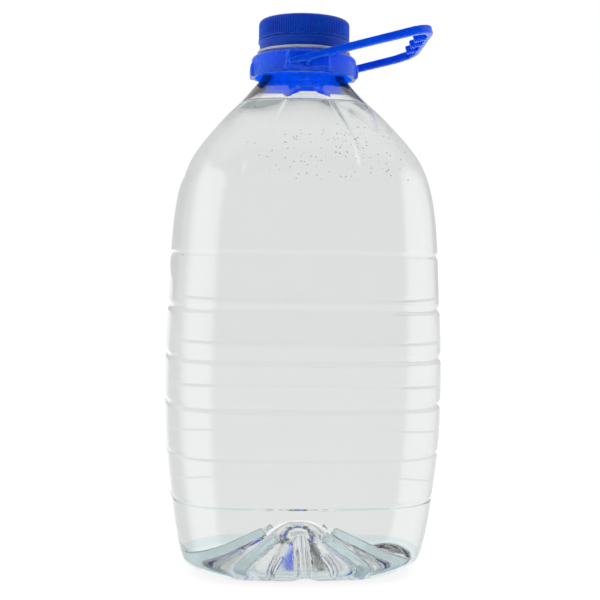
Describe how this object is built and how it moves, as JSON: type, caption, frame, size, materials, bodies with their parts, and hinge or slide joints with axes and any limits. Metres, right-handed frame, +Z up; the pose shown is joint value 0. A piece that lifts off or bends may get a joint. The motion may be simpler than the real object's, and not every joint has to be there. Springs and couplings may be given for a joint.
{
  "type": "large water jug",
  "caption": "Tall clear rounded-square water jug with ring grooves, ribbed base, blue screw cap with tamper band, and a blue carrying bail on a neck collar.",
  "frame": {"origin": "on the floor under the middle of the jug", "axes": "+Z up along the neck, +X towards the bail's grip"},
  "size_m": [0.1582, 0.1582, 0.3135],
  "materials": {
    "clear_pet": "clear, glossy blow-moulded PET",
    "cap_blue": "semi-gloss moulded polyethylene",
    "handle_blue": "semi-gloss moulded polyethylene",
    "liner_white": "soft white foamed sheet"
  },
  "bodies": {
    "bottle": {"bottle": "clear_pet"},
    "liner": {"cap_liner": "liner_white"},
    "cap": {"cap": "cap_blue"},
    "band": {"tamper_band": "cap_blue", "band_bridges": "cap_blue"},
    "collar": {"handle_collar": "handle_blue"},
    "bail": {"handle_bail": "handle_blue"}
  },
  "joints": [
    {"name": "cap_rise", "type": "slide", "parent": "bottle", "child": "liner", "axis": [0, 0, 1], "range_m": [0, 0.0181]},
    {"name": "cap_turn", "type": "hinge", "parent": "liner", "child": "cap", "pos_m": [0, 0, 0.3075], "axis": [0, 0, 1], "range_deg": [0, 720]},
    {"name": "band_turn", "type": "hinge", "parent": "bottle", "child": "band", "pos_m": [0, 0, 0.2985], "axis": [0, 0, 1], "continuous": true},
    {"name": "collar_turn", "type": "hinge", "parent": "bottle", "child": "collar", "pos_m": [0, 0, 0.2851], "axis": [0, 0, 1], "continuous": true},
    {"name": "bail_swing", "type": "hinge", "parent": "collar", "child": "bail", "pos_m": [0, 0, 0.2851], "axis": [0, -1, 0], "range_deg": [-25, 180]}
  ],
  "couplings": [
    {"joint": "cap_rise", "follows": "cap_turn", "m_per_rad": 0.0014324}
  ]
}
